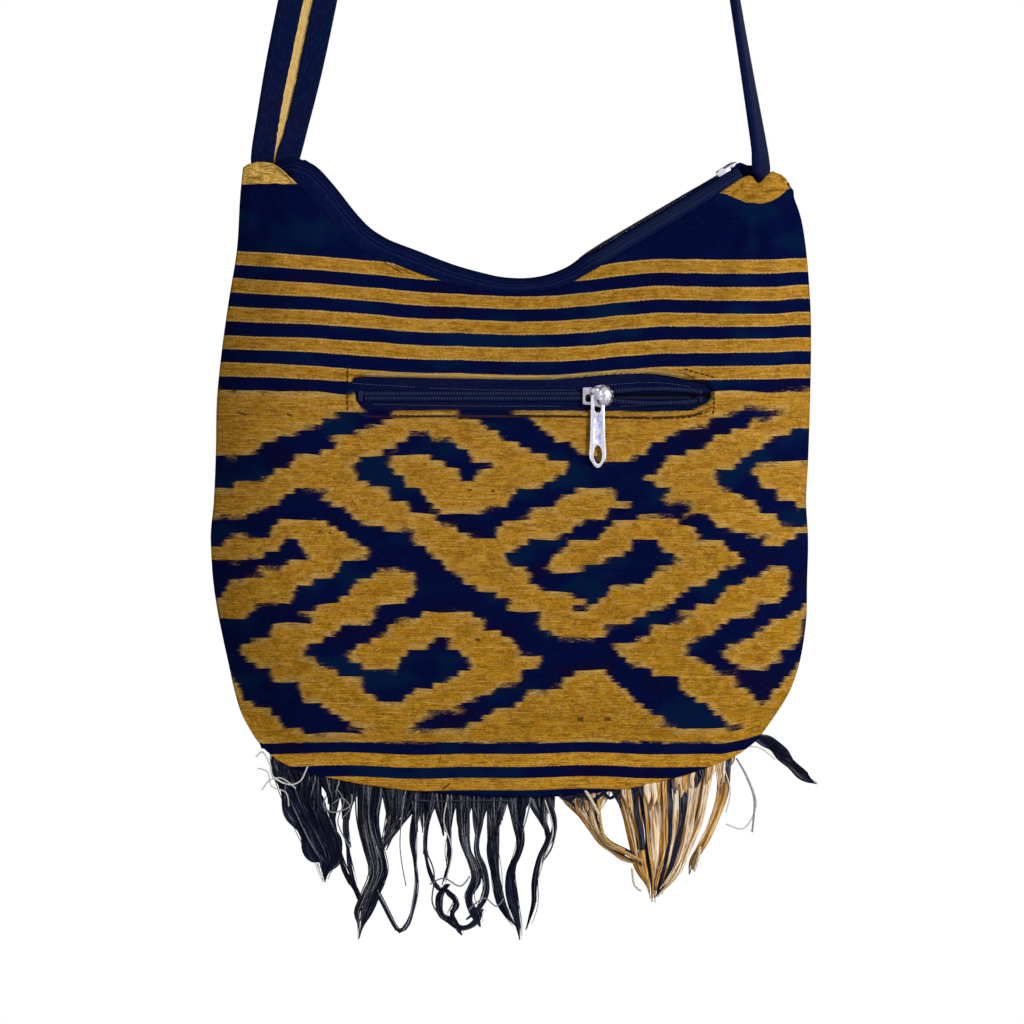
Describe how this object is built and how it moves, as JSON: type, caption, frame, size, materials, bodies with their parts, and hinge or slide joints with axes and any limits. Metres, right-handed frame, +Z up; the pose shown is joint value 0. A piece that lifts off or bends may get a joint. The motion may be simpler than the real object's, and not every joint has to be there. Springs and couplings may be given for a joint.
{
  "type": "woven sling bag",
  "caption": "Hand-woven cloth sling bag with a curved zipped top, a zipped front pocket, a long flat shoulder strap and a yarn fringe, hung by its strap.",
  "frame": {"origin": "underside of the strap at its crest, where the bag hangs", "axes": "+Z up along the hanging bag, +X to the right of the zip-pocket side, -Y out of the zip-pocket side"},
  "size_m": [0.2729, 0.0463, 0.9059],
  "materials": {
    "woven_cloth": "matte handwoven cotton",
    "lining_cloth": "matte plain cotton",
    "navy_webbing": "matte woven band",
    "navy_tape": "matte woven tape",
    "zip_coil": "satin nylon",
    "plated_metal": "worn bright plating",
    "navy_yarn": "matte cotton yarn",
    "gold_yarn": "matte cotton yarn"
  },
  "bodies": {
    "bag": {"front_panel": "woven_cloth", "back_panel": "woven_cloth", "lining": "lining_cloth", "pocket_bag": "lining_cloth", "strap": "navy_webbing", "main_tape_front": "navy_tape", "main_tape_back": "navy_tape", "main_coil_front": "zip_coil", "main_coil_back": "zip_coil", "main_bottom_stop": "plated_metal", "main_end_tab": "navy_tape", "pocket_tape_upper": "navy_tape", "pocket_tape_lower": "navy_tape", "pocket_coil_upper": "zip_coil", "pocket_coil_lower": "zip_coil", "pocket_bottom_stop": "plated_metal", "pocket_top_stop_upper": "plated_metal", "pocket_top_stop_lower": "plated_metal", "fringe_navy": "navy_yarn", "fringe_gold": "gold_yarn", "fringe_side": "navy_yarn"},
    "main_slider": {"main_slider": "plated_metal"},
    "main_pull": {"main_pull": "plated_metal"},
    "pocket_slider": {"pocket_slider": "plated_metal"},
    "pocket_pull": {"pocket_pull": "plated_metal"}
  },
  "joints": [
    {"name": "main_slider_slide", "type": "slide", "parent": "bag", "child": "main_slider", "axis": [-0.8572, 0, -0.515], "range_m": [0, 0.06], "deforming": ["main_coil_front", "main_coil_back"]},
    {"name": "main_pull_swing", "type": "hinge", "parent": "main_slider", "child": "main_pull", "pos_m": [0.07851, 0.001, -0.55442], "axis": [0.8572, 0, 0.515], "range_deg": [0, 215]},
    {"name": "pocket_slider_slide", "type": "slide", "parent": "bag", "child": "pocket_slider", "axis": [1, 0, 0], "range_m": [-0.098, 0.0375], "deforming": ["pocket_coil_upper", "pocket_coil_lower"]},
    {"name": "pocket_pull_swing", "type": "hinge", "parent": "pocket_slider", "child": "pocket_pull", "pos_m": [0.02367, -0.0202, -0.6587], "axis": [-1, 0, 0], "range_deg": [0, 175]}
  ]
}
